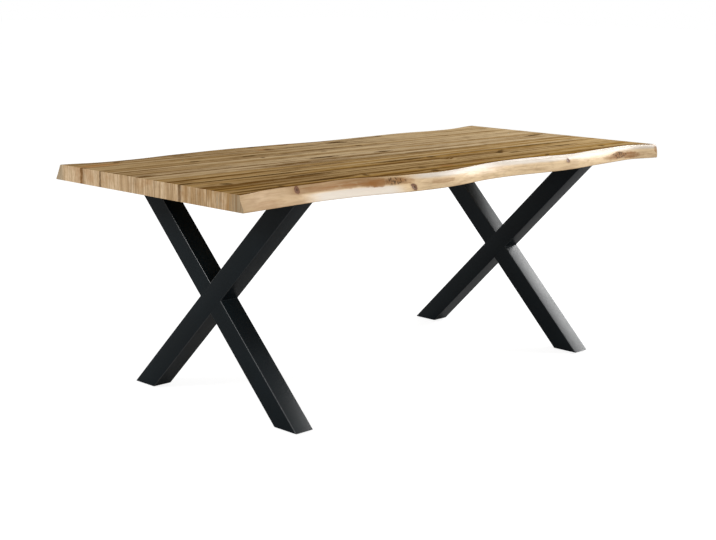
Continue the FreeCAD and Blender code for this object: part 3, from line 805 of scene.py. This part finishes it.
def live_edge_plank(plank, side):
    """Outer plank: flat inside, with the CAD model's live edge, rippled, knotted and softly rounded."""
    sizes = bpy.context.scene.table_top
    low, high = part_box(f"{plank}_plank")
    edge_name = SIDES[side > 0]
    glue_y = high.y if side < 0 else low.y
    x = stations(sizes.edge_step)
    thickness = TOP_Z - UNDERSIDE_Z
    drops = np.linspace(EDGE_INSET, 1 - EDGE_INSET, EDGE_POINTS) * thickness
    traced = traced_edge(plank, side, x, TOP_Z - drops)
    calm = np.minimum(1.0, np.minimum(drops / CALM_WIDER, thickness - drops) / CALM)
    z = np.concatenate([np.full(UPPER_POINTS, TOP_Z), TOP_Z - drops, np.full(LOWER_POINTS, UNDERSIDE_Z)])
    bend, spread = sizes.arris * BEND, sizes.arris * BEND_SPREAD
    glued = np.full_like(GLUE_Z, glue_y)
    plain = np.zeros_like(GLUE_Z)
    sections, sap, brim = [], [], []
    for row, along in enumerate(x):
        out = np.array([edge_relief(along, drop, edge_name, sizes.ripple) for drop in drops])
        chord = np.interp(drops, (0.0, thickness), (traced[row, 0], traced[row, -1]))
        straight = SIDE_STRAIGHT[edge_name] * np.clip((-along - STRAIGHT_STARTS) / STRAIGHT_RUN, 0.0, 1.0)
        edge_y = traced[row] + straight * (chord - traced[row]) + side * out * calm
        y = np.concatenate([
            np.linspace(glue_y, edge_y[0], UPPER_POINTS + 1)[:-1], edge_y,
            np.linspace(edge_y[-1], glue_y, LOWER_POINTS + 1)[1:],
        ])
        run = np.concatenate([[0.0], np.cumsum(np.hypot(np.diff(y), np.diff(z)))])
        first, last = run[UPPER_POINTS], run[UPPER_POINTS + EDGE_POINTS - 1]
        way = np.concatenate([
            np.linspace(0.0, first + bend[0], UPPER_FLAT + 1)[:-1], first + bend,
            np.linspace(first + bend[-1], last - bend[-1], EDGE_FLAT + 2)[1:-1], last + bend,
            np.linspace(last + bend[-1], run[-1], LOWER_FLAT + 1)[1:],
        ])
        smooth_y, smooth_z = np.interp(way, run, y), np.interp(way, run, z)
        near = np.minimum(abs(way - first), abs(way - last)) < BEND_REACH * sizes.arris
        for turn in np.flatnonzero(near):
            smooth_y[turn] = np.interp(way[turn] + spread, run, y).mean()
            smooth_z[turn] = np.interp(way[turn] + spread, run, z).mean()
        dip = sunk(np.array(along), smooth_y, MARKS[plank], sizes.knot_hollow)
        smooth_z = smooth_z - np.where((way < first + bend[0]) & (way > 0), dip, 0.0)
        round_y, round_z = np.append(smooth_y, glued), np.append(smooth_z, GLUE_Z)
        sections.append(np.stack([np.full_like(round_y, along), round_y, round_z], axis=1))
        on_edge = np.minimum(way - first, last - way) / sizes.arris
        sap.append(np.append(np.clip((on_edge + SAP_STARTS) / SAP_RUN, 0.0, 1.0), plain))
        brim.append(np.append(np.clip(1.0 - (first - way) / sizes.brim, 0.0, 1.0), plain))
    mesh = loft(f"{plank}_plank_oak", np.array(sections))
    for name, values in (("sap", sap), ("brim", brim)):
        layer = mesh.attributes.new(name, "FLOAT", "POINT")
        layer.data.foreach_set("value", np.array(values, np.float32).ravel())
    return eased(mesh, sizes.ease)


# Leg frames

# Faces round a tube's corner and radius of its bore's corners
CORNER_STEPS, BORE_CORNER = 5, 0.2 * MM
# Sharpest bends that are shaded smooth, in degrees
TUBE_CREASE, TURNED_CREASE = 40, 35


def quarter(steps=4):
    """Sines and cosines through a quarter turn."""
    angles = [math.pi / 2 * step / steps for step in range(steps + 1)]
    return [(math.sin(angle), math.cos(angle)) for angle in angles]


def rounded_section(half, flare, radius):
    """Points round a rounded square about the origin, anticlockwise, wider by a flare one way."""
    points = []
    for turn, (right, front) in enumerate(((1, 1), (-1, 1), (-1, -1), (1, -1))):
        for step in range(CORNER_STEPS + 1):
            angle = math.pi / 2 * (turn + step / CORNER_STEPS)
            points.append((
                right * (half - radius) + radius * math.cos(angle),
                front * (half + flare - radius) + radius * math.sin(angle),
            ))
    return points


class LegTube:
    """Leaning square tube of a frame: rings of points where level or leaning planes cut it."""

    def __init__(self, end, towards):
        low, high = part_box(f"{end}_through_leg")
        self.middle = (low + high) / 2
        self.height = high.z - low.z
        spread = high.y - low.y
        diagonal = math.hypot(spread, self.height)
        self.lean = math.acos(TUBE_SIDE / diagonal) - math.atan(self.height / spread)
        self.axis = Vector((0.0, towards * math.sin(self.lean), math.cos(self.lean)))
        self.aside = Vector((0.0, math.cos(self.lean), -towards * math.sin(self.lean)))

    def ring(self, half, radius, normal, distance, flare=0.0, corner=0.0):
        """Points of the tube's outline where a plane this far from the crossing cuts it.

        A corner is the rounding of the tube that it meets, which the cut follows at its two sides.
        """
        points = []
        for across, beside in rounded_section(half, flare, radius):
            start = self.middle + Vector((across, 0.0, 0.0)) + self.aside * beside
            over = max(0.0, abs(across) - (TUBE_SIDE / 2 - corner))
            sink = corner - math.sqrt(max(0.0, corner * corner - over * over))
            reach = distance - math.copysign(sink, distance)
            travel = (reach - (start - self.middle).dot(normal)) / self.axis.dot(normal)
            points.append(start + self.axis * travel)
        return points


def fillet_rings(tube, normal, distance, into, corner=0.0):
    """Rings of a small concave weld fillet, from the joint into the tube."""
    sizes = bpy.context.scene.table_frame
    rings = []
    for sine, cosine in quarter():
        flare, along = sizes.weld * (1.0 - sine), sizes.weld * (1.0 - cosine)
        rings.append(tube.ring(TUBE_SIDE / 2, sizes.corner, normal, distance + into * along, flare, corner))
    return rings


def cut_rings(tube, normal, distance):
    """Rings of a plain cut end with an eased arris."""
    sizes = bpy.context.scene.table_frame
    half = TUBE_SIDE / 2
    return [
        tube.ring(half - sizes.end_ease, sizes.corner, normal, distance),
        tube.ring(half, sizes.corner, normal, distance + sizes.end_ease),
    ]


def ringed_tube(name, tube, outside, inner_cuts):
    """Closed hollow mesh from the outer rings and the two cuts of the bore, with its corners marked."""
    bore = TUBE_SIDE / 2 - bpy.context.scene.table_frame.wall
    inside = [tube.ring(bore, BORE_CORNER, normal, distance) for normal, distance in inner_cuts]
    rings = outside + inside
    around = len(rings[0])
    mesh = bpy.data.meshes.new(name)
    mesh.from_pydata([point for ring in rings for point in ring], [], ring_faces(len(rings), around, True))
    smooth(outward(mesh), TUBE_CREASE)
    bends = ([0.0] + [1.0] * (CORNER_STEPS - 1) + [0.0]) * 4
    shine = bends * len(outside) + [0.0] * (around * len(inside))
    mesh.attributes.new("corner", "FLOAT", "POINT").data.foreach_set("value", shine)
    return mesh


def turned(name, outline, sides, middle):
    """Closed mesh turned about an upright axis from an outline of radius and height, foot first."""
    turns = [math.tau * side / sides for side in range(sides)]
    rings = [
        [(middle.x + radius * math.cos(turn), middle.y + radius * math.sin(turn), height) for turn in turns]
        for radius, height in outline
    ]
    return smooth(loft(name, np.array(rings)), TURNED_CREASE)


# Repeated fittings, made by Geometry Nodes

class Tree(Nodes):
    """Geometry Nodes tree with named sizes and a finish."""

    prefix = "GeometryNode"

    def __init__(self, name, *sizes):
        self.tree = bpy.data.node_groups.new(name, "GeometryNodeTree")
        interface = self.tree.interface
        interface.new_socket("Geometry", in_out="INPUT", socket_type="NodeSocketGeometry")
        self.ids = {}
        for label in (*sizes, "Finish"):
            kind = "NodeSocketMaterial" if label == "Finish" else "NodeSocketFloat"
            self.ids[label] = interface.new_socket(label, in_out="INPUT", socket_type=kind).identifier
        interface.new_socket("Geometry", in_out="OUTPUT", socket_type="NodeSocketGeometry")
        given = self.tree.nodes.new("NodeGroupInput").outputs
        self.inputs = {socket.name: Value(self, socket) for socket in given}

    def finish(self, shape):
        """One of the shape on each point of the input, as plain faces with a material."""
        copies = self.add("InstanceOnPoints", Points=self.inputs["Geometry"], Instance=shape)
        solid = self.add("RealizeInstances", Geometry=copies)
        painted = self.add("SetMaterial", Geometry=solid, Material=self.inputs["Finish"])
        self.feed(self.tree.nodes.new("NodeGroupOutput").inputs["Geometry"], painted)
        return self

    def mesh(self, name, places, **values):
        """Plain mesh of the tree's result on these places."""
        seed = bpy.data.meshes.new(f"{name}_places")
        seed.from_pydata(places, [], [])
        holder = linked("holder", seed)
        modifier = holder.modifiers.new("make", "NODES")
        modifier.node_group = self.tree
        for label, value in values.items():
            modifier[self.ids[label.replace("_", " ")]] = value
        made = plain_mesh(holder, name)
        made.set_sharp_from_angle(angle=math.radians(TURNED_CREASE))
        bpy.data.meshes.remove(seed)
        return made


def bolt_tree():
    """Domed bolt with a hexagon socket, head down, its head's upper face on the point."""
    tree = Tree(
        "frame_bolts", "Head radius", "Head height", "Shank radius", "Shank length",
        "Socket radius", "Socket depth",
    )
    size = tree.inputs
    ball = tree.add("MeshUVSphere", Segments=40, Rings=24, Radius=size["Head radius"])
    flatter = tree.add("CombineXYZ", X=1.0, Y=1.0, Z=size["Head height"] / size["Head radius"])
    dome = tree.add("Transform", Geometry=ball, Scale=flatter)
    block = tree.add("MeshCube", Size=(1.0, 1.0, 1.0))
    above = tree.add("Transform", Geometry=block, Translation=(0.0, 0.0, 0.5))
    head = tree.add("MeshBoolean", {"operation": "DIFFERENCE"}, Mesh_1=dome, Mesh_2=above)
    depth = size["Socket depth"] * 2.0
    hexagon = tree.add("MeshCylinder", Vertices=6, Radius=size["Socket radius"], Depth=depth)
    sunk_to = tree.add("CombineXYZ", Z=size["Head height"] * -1.0)
    drive = tree.add("Transform", Geometry=hexagon, Translation=sunk_to)
    socketed = tree.add("MeshBoolean", {"operation": "DIFFERENCE"}, Mesh_1=head, Mesh_2=drive)
    rod = tree.add("MeshCylinder", Vertices=32, Radius=size["Shank radius"], Depth=size["Shank length"])
    half = tree.add("CombineXYZ", Z=size["Shank length"] * 0.5)
    bolt = tree.add("JoinGeometry", None, tree.add("Transform", Geometry=rod, Translation=half))
    tree.feed(bolt.socket.node.inputs[0], socketed)
    return tree.finish(bolt)


def washer_tree():
    """Flat ring whose middle is on the point."""
    tree = Tree("frame_washers", "Radius", "Bore", "Thickness", "Ease")
    size = tree.inputs
    path = tree.add("CurvePrimitiveCircle", Resolution=48, Radius=(size["Radius"] + size["Bore"]) * 0.5)
    strip = tree.add(
        "CurvePrimitiveQuadrilateral", Width=size["Radius"] - size["Bore"], Height=size["Thickness"],
    )
    soft = tree.add("FilletCurve", {"mode": "POLY"}, Curve=strip, Radius=size["Ease"], Count=2)
    return tree.finish(tree.add("CurveToMesh", Curve=path, Profile_Curve=soft))


# Fittings where the CAD model is plain: bolts and washers, the glides' discs and their stems
WASHER_BORE, WASHER_EASE = 4.3 * MM, 0.3 * MM
SHANK_RADIUS, SOCKET_RADIUS, SOCKET_DEPTH = 4 * MM, 2.9 * MM, 2.6 * MM
DISC_ROUND, DISC_GROOVE, DISC_BORE, DISC_FLOOR, DISC_POLE = 0.8 * MM, 0.6 * MM, 4.1 * MM, 2 * MM, 0.3 * MM
STEM_PLAIN, STEM_TIP = 3 * MM, 1 * MM
# Rims and floor of the groove, in shares of the disc's radius, and depth of the thread, in pitches
GROOVE_SHARES = (0.62, 0.60, 0.42, 0.40)
THREAD_DEPTH = 0.55


def disc_outline(low, high):
    """A glide's disc: rounded rim, groove in its upper face and bore for the stem."""
    radius = (high.x - low.x) / 2
    rim = radius - DISC_ROUND
    outline = [(DISC_POLE, low.z)]
    for sine, cosine in quarter():
        outline.append((rim + DISC_ROUND * sine, low.z + DISC_ROUND - DISC_ROUND * cosine))
    for sine, cosine in quarter():
        outline.append((rim + DISC_ROUND * cosine, high.z - DISC_ROUND + DISC_ROUND * sine))
    groove, floor = high.z - DISC_GROOVE, low.z + DISC_FLOOR
    for share, height in zip(GROOVE_SHARES, (high.z, groove, groove, high.z)):
        outline.append((share * radius, height))
    return outline + [(DISC_BORE, high.z), (DISC_BORE, floor), (DISC_POLE, floor)]


def stem_outline(low, high, pitch):
    """A glide's stem: plain foot, thread and bevelled tip."""
    radius = (high.x - low.x) / 2
    outline = [(radius, low.z)]
    for turn in range(int((high.z - low.z - (STEM_PLAIN + STEM_TIP)) / pitch)):
        height = low.z + STEM_PLAIN + turn * pitch
        outline += [(radius, height), (radius - THREAD_DEPTH * pitch, height + pitch / 2)]
    return outline + [(radius, high.z - STEM_TIP), (radius - STEM_TIP, high.z)]


# Operators

class TABLE_OT_inner_planks(bpy.types.Operator):
    """Lays the five flat planks between the live edge planks"""

    bl_idname = "table.inner_planks"
    bl_label = "Inner planks"

    def execute(self, context):
        for number, plank in enumerate(INNER_PLANKS):
            mesh = inner_plank(plank)
            piece(mesh, "table", "oak", oak(plank, number + 2), f"{plank}_plank")
        dress(raw_beech(), "plank_biscuits")
        return {"FINISHED"}


class TABLE_OT_live_edge_planks(bpy.types.Operator):
    """Shapes the front and rear planks with their natural edges"""

    bl_idname = "table.live_edge_planks"
    bl_label = "Live edge planks"

    def execute(self, context):
        for number, (plank, side) in enumerate((("front_live_edge", -1), ("rear_live_edge", 1))):
            mesh = live_edge_plank(plank, side)
            piece(mesh, "table", "oak", oak(plank, number), f"{plank}_plank")
        return {"FINISHED"}


class TABLE_OT_leg_frames(bpy.types.Operator):
    """Welds the two crossed frames of square tube"""

    bl_idname = "table.leg_frames"
    bl_label = "Leg frames"

    def execute(self, context):
        coat = powder_coat()
        up = Vector((0.0, 0.0, 1.0))
        for end in ENDS:
            through = LegTube(end, -1)
            crossing = LegTube(end, 1)
            reach = through.height / 2
            side_face = through.aside if through.aside.dot(crossing.axis) > 0 else -through.aside
            half = TUBE_SIDE / 2
            corner = context.scene.table_frame.corner
            shapes = {
                "through_leg": (
                    through, cut_rings(through, up, -reach) + fillet_rings(through, up, reach, -1)[::-1],
                    ((up, reach), (up, -reach)),
                ),
                "upper_half_leg": (
                    crossing,
                    fillet_rings(crossing, side_face, half, 1, corner)
                    + fillet_rings(crossing, up, reach, -1)[::-1],
                    ((up, reach), (side_face, half)),
                ),
                "lower_half_leg": (
                    crossing,
                    cut_rings(crossing, up, -reach)
                    + fillet_rings(crossing, side_face, -half, -1, corner)[::-1],
                    ((side_face, -half), (up, -reach)),
                ),
            }
            for part, (tube, outside, bore) in shapes.items():
                mesh = ringed_tube(f"{end}_{part}_steel", tube, outside, bore)
                piece(mesh, "table", "black_steel", coat, f"{end}_{part}")
            dress(coat, f"{end}_top_plate", *[f"{end}_{side}_foot_plate" for side in SIDES])
        return {"FINISHED"}


class TABLE_OT_fasteners(bpy.types.Operator):
    """Sets the bolts and washers that hold the frames to the top"""

    bl_idname = "table.fasteners"
    bl_label = "Fasteners"

    def execute(self, context):
        zinc = zinc_plate()
        bolts, washers = bolt_tree(), washer_tree()
        for end in ENDS:
            low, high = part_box(f"{end}_frame_washers")
            bolt_low, bolt_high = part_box(f"{end}_frame_bolts")
            radius = (high.x - low.x) / 2
            along = (low.x + high.x) / 2
            spots = [sum(side.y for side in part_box(f"{plank}_plank")) / 2 for plank in INNER_PLANKS]
            mesh = washers.mesh(
                f"{end}_washers_zinc", [(along, y, (low.z + high.z) / 2) for y in spots],
                Radius=radius, Bore=WASHER_BORE, Thickness=high.z - low.z, Ease=WASHER_EASE, Finish=zinc,
            )
            piece(mesh, "table", "zinc_steel", zinc, f"{end}_frame_washers")
            mesh = bolts.mesh(
                f"{end}_bolts_zinc", [(along, y, low.z) for y in spots],
                Head_radius=(bolt_high.x - bolt_low.x) / 2, Head_height=low.z - bolt_low.z,
                Shank_radius=SHANK_RADIUS, Shank_length=bolt_high.z - low.z,
                Socket_radius=SOCKET_RADIUS, Socket_depth=SOCKET_DEPTH, Finish=zinc,
            )
            piece(mesh, "table", "zinc_steel", zinc, f"{end}_frame_bolts")
            dress(zinc, *[f"{end}_{side}_foot_bush" for side in SIDES])
        dress(zinc, "threaded_inserts")
        return {"FINISHED"}


class TABLE_OT_glides(bpy.types.Operator):
    """Turns the levelling glides under the feet"""

    bl_idname = "table.glides"
    bl_label = "Levelling glides"

    def execute(self, context):
        sizes = context.scene.table_frame
        plastic = moulded_plastic()
        zinc = bpy.data.materials["zinc_plate"]
        for body in [f"{end}_{side}_glide" for end in ENDS for side in SIDES]:
            low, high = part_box(f"{body}_disc")
            middle = (low + high) / 2
            mesh = turned(f"{body}_disc_plastic", disc_outline(low, high), sizes.sides, middle)
            piece(mesh, body, "glide_plastic", plastic, f"{body}_disc")
            outline = stem_outline(*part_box(f"{body}_stem"), sizes.thread_pitch)
            mesh = turned(f"{body}_stem_zinc", outline, sizes.sides, middle)
            piece(mesh, body, "zinc_steel", zinc, f"{body}_stem")
        return {"FINISHED"}


# Stage

# Camera that took the photograph: metres, degrees and pixels
CAMERA_PLACE = (-3.4172, -3.2575, 1.3005)
CAMERA_YAW = 45.510
CAMERA_PITCH = -11.453
CAMERA_ROLL = 0.788
FOCAL_PIXELS = 1394.3
IMAGE_WIDTH = 716
SENSOR_WIDTH = 36.0

# Softboxes: place, target, width and height, in metres
SOFTBOXES = {
    "key": ((4.6, -0.95, 2.95), (0.0, -0.2, 0.4), 0.8, 2.5),
    "rim": ((4.6, 1.7, 2.8), (0.2, -0.2, 0.6), 1.8, 1.3),
    "fill": ((-4.3, 0.6, 2.4), (0.0, 0.0, 0.6), 1.2, 0.9),
    "front": ((-1.2, -5.2, 2.0), (0.0, 0.0, 0.6), 3.0, 2.0),
}
WHITE = (1.0, 1.0, 1.0)
# Floor: half its width, its gap below the feet, its grey as it lights and as it is seen, its share in gloss
FLOOR_HALF, FLOOR_GAP = 40.0, 0.5 * MM
FLOOR_GREY, SHADOW_GREY, FLOOR_MIRRORED = 0.34, 0.3, 0.02


def softbox(name, place, target, width, height, power):
    light = bpy.data.lights.new(name, "AREA")
    light.shape = "RECTANGLE"
    light.size = width
    light.size_y = height
    light.energy = power
    item = linked(name, light)
    item.location = place
    item.rotation_euler = (Vector(target) - Vector(place)).to_track_quat("-Z", "Y").to_euler()


def photo_camera():
    data = bpy.data.cameras.new("photo_camera")
    data.sensor_width = SENSOR_WIDTH
    data.sensor_fit = "HORIZONTAL"
    data.lens = FOCAL_PIXELS / IMAGE_WIDTH * SENSOR_WIDTH
    data.clip_end = 100.0
    stand = Matrix.Translation(CAMERA_PLACE)
    for axis, turn in (("Z", -CAMERA_YAW), ("X", 90 + CAMERA_PITCH), ("Z", CAMERA_ROLL)):
        stand = stand @ Matrix.Rotation(math.radians(turn), 4, axis)
    item = linked("photo_camera", data)
    item.matrix_world = stand
    bpy.context.scene.camera = item


def seen_rays(finish, mirrored):
    """1 for rays from the camera, this much for those off gloss and through glass, and 0 for the rest."""
    path = finish.add("LightPath").socket.node.outputs
    seen = Value(finish, path["Is Camera Ray"])
    for kind in ("Is Glossy Ray", "Is Transmission Ray"):
        seen = seen.most(Value(finish, path[kind]) * mirrored)
    return seen


def studio_floor():
    """White floor that keeps the table's shadow."""
    material = bpy.data.materials.new("pale_floor")
    finish = Nodes(material)
    plain = finish.add("BsdfDiffuse", None, Color=[FLOOR_GREY] * 3)
    shaded = finish.add("BsdfDiffuse", None, Color=[SHADOW_GREY] * 3)
    glow = finish.add("Emission", None, Color=WHITE, Strength=bpy.context.scene.table_stage.floor_glow)
    both = finish.add("AddShader", None, shaded, glow)
    mixed = finish.add("MixShader", None, seen_rays(finish, FLOOR_MIRRORED), plain, both)
    finish.add("OutputMaterial", None, mixed)
    mesh = bpy.data.meshes.new("studio_floor")
    corners = ((-1, -1), (1, -1), (1, 1), (-1, 1))
    height = FLOOR_Z - FLOOR_GAP
    mesh.from_pydata([(FLOOR_HALF * x, FLOOR_HALF * y, height) for x, y in corners], [], [(0, 1, 2, 3)])
    mesh.materials.append(material)
    linked("studio_floor", mesh)


def white_room():
    """World that is white to the eye and in reflections, and lights the table evenly."""
    world = bpy.data.worlds.new("white_room")
    room = Nodes(world)
    dim = room.add("Background", None, Color=WHITE, Strength=bpy.context.scene.table_stage.room)
    white = room.add("Background", None, Color=WHITE, Strength=1.0)
    room.add("OutputWorld", None, room.add("MixShader", None, seen_rays(room, 1.0), dim, white))
    bpy.context.scene.world = world


class TABLE_OT_stage(bpy.types.Operator):
    """Sets the floor, the softboxes, the white room and the camera"""

    bl_idname = "table.stage"
    bl_label = "Stage"

    def execute(self, context):
        scene = context.scene
        scene.view_settings.view_transform = "Standard"
        studio_floor()
        for name, box in SOFTBOXES.items():
            softbox(f"{name}_softbox", *box, getattr(scene.table_stage, f"{name}_power"))
        white_room()
        photo_camera()
        return {"FINISHED"}


OPERATORS = (
    TABLE_OT_inner_planks, TABLE_OT_live_edge_planks, TABLE_OT_leg_frames, TABLE_OT_fasteners,
    TABLE_OT_glides, TABLE_OT_stage,
)


class TABLE_PT_pieces(bpy.types.Panel):
    """Lists the table's pieces in the order they are made"""

    bl_label = "Live edge dining table"
    bl_space_type = "VIEW_3D"
    bl_region_type = "UI"
    bl_category = "Table"

    def draw(self, context):
        for group in GROUPS:
            box = self.layout.box()
            settings = getattr(context.scene, group)
            for name in settings.__annotations__:
                box.prop(settings, name)
        for operator in OPERATORS:
            self.layout.operator(operator.bl_idname)


register_classes, unregister_classes = bpy.utils.register_classes_factory(
    (*GROUPS.values(), *OPERATORS, TABLE_PT_pieces),
)


def register():
    register_classes()
    for name, group in GROUPS.items():
        setattr(bpy.types.Scene, name, PointerProperty(type=group))


def unregister():
    for name in GROUPS:
        delattr(bpy.types.Scene, name)
    unregister_classes()


def main():
    register()
    bpy.ops.table.inner_planks()
    bpy.ops.table.live_edge_planks()
    bpy.ops.table.leg_frames()
    bpy.ops.table.fasteners()
    bpy.ops.table.glides()
    bpy.ops.table.stage()


if __name__ == "__main__":
    main()
